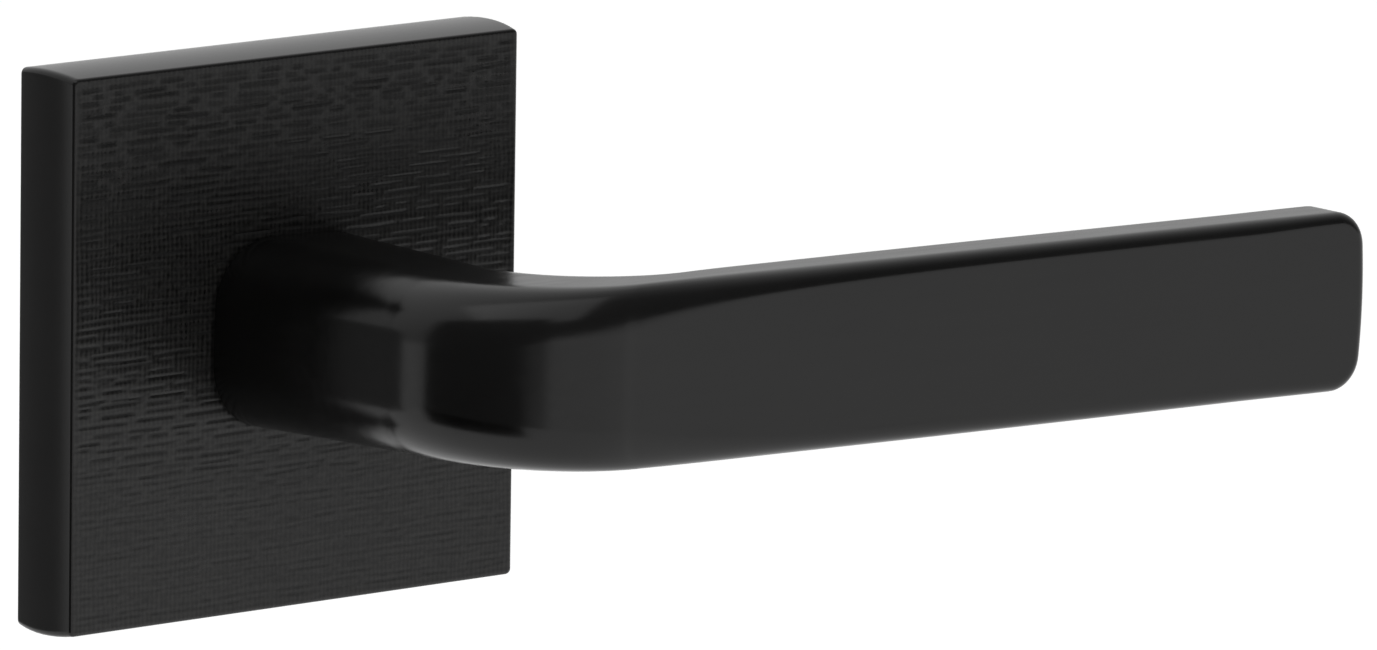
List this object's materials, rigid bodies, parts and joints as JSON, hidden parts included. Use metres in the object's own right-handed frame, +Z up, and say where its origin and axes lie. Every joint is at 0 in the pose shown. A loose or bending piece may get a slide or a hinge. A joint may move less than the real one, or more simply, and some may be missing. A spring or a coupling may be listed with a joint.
{
  "type": "door lever handle",
  "caption": "Sprung door lever on a square concealed-fixing rose, with a square spindle and two through bolts.",
  "frame": {"origin": "on the lever's turning axis, in the face of the rose that rests on the door", "axes": "+Y points from the rose into the door, -Y towards the room, +X along the lever, +Z up"},
  "size_m": [0.1574, 0.0947, 0.0668],
  "materials": {
    "satin_black": "satin",
    "acetal": "satin",
    "zinc_casting": "satin",
    "plated_steel": "satin",
    "hub_steel": "satin",
    "spring_steel": "satin",
    "black_oxide": "satin",
    "foam_rubber": "matte"
  },
  "bodies": {
    "rose": {"rose_cover": "satin_black", "hub_bush": "acetal", "mounting_plate": "zinc_casting", "spring_cover": "plated_steel", "stop_pin_left": "plated_steel", "stop_pin_right": "plated_steel", "lock_washer_left": "plated_steel", "lock_washer_right": "plated_steel", "through_bolt_left": "plated_steel", "through_bolt_right": "plated_steel", "cover_screw_1": "plated_steel", "cover_screw_2": "plated_steel", "cover_screw_3": "plated_steel", "cover_screw_4": "plated_steel", "return_spring": "spring_steel", "rose_set_screw": "black_oxide", "door_gasket": "foam_rubber"},
    "lever": {"lever_handle": "satin_black", "neck_ring": "acetal", "lever_set_screw": "black_oxide", "spindle": "plated_steel", "drive_hub": "hub_steel", "hub_circlip": "spring_steel", "thrust_washer": "plated_steel", "spring_washer": "spring_steel"}
  },
  "joints": [
    {"name": "lever_turn", "type": "hinge", "parent": "rose", "child": "lever", "pos_m": [0, 0, 0], "axis": [0, 1, 0], "range_deg": [-46.2, 43.8], "stiffness_Nm_per_rad": 1.5, "springref_deg": -5.73, "deforming": ["return_spring"]}
  ]
}
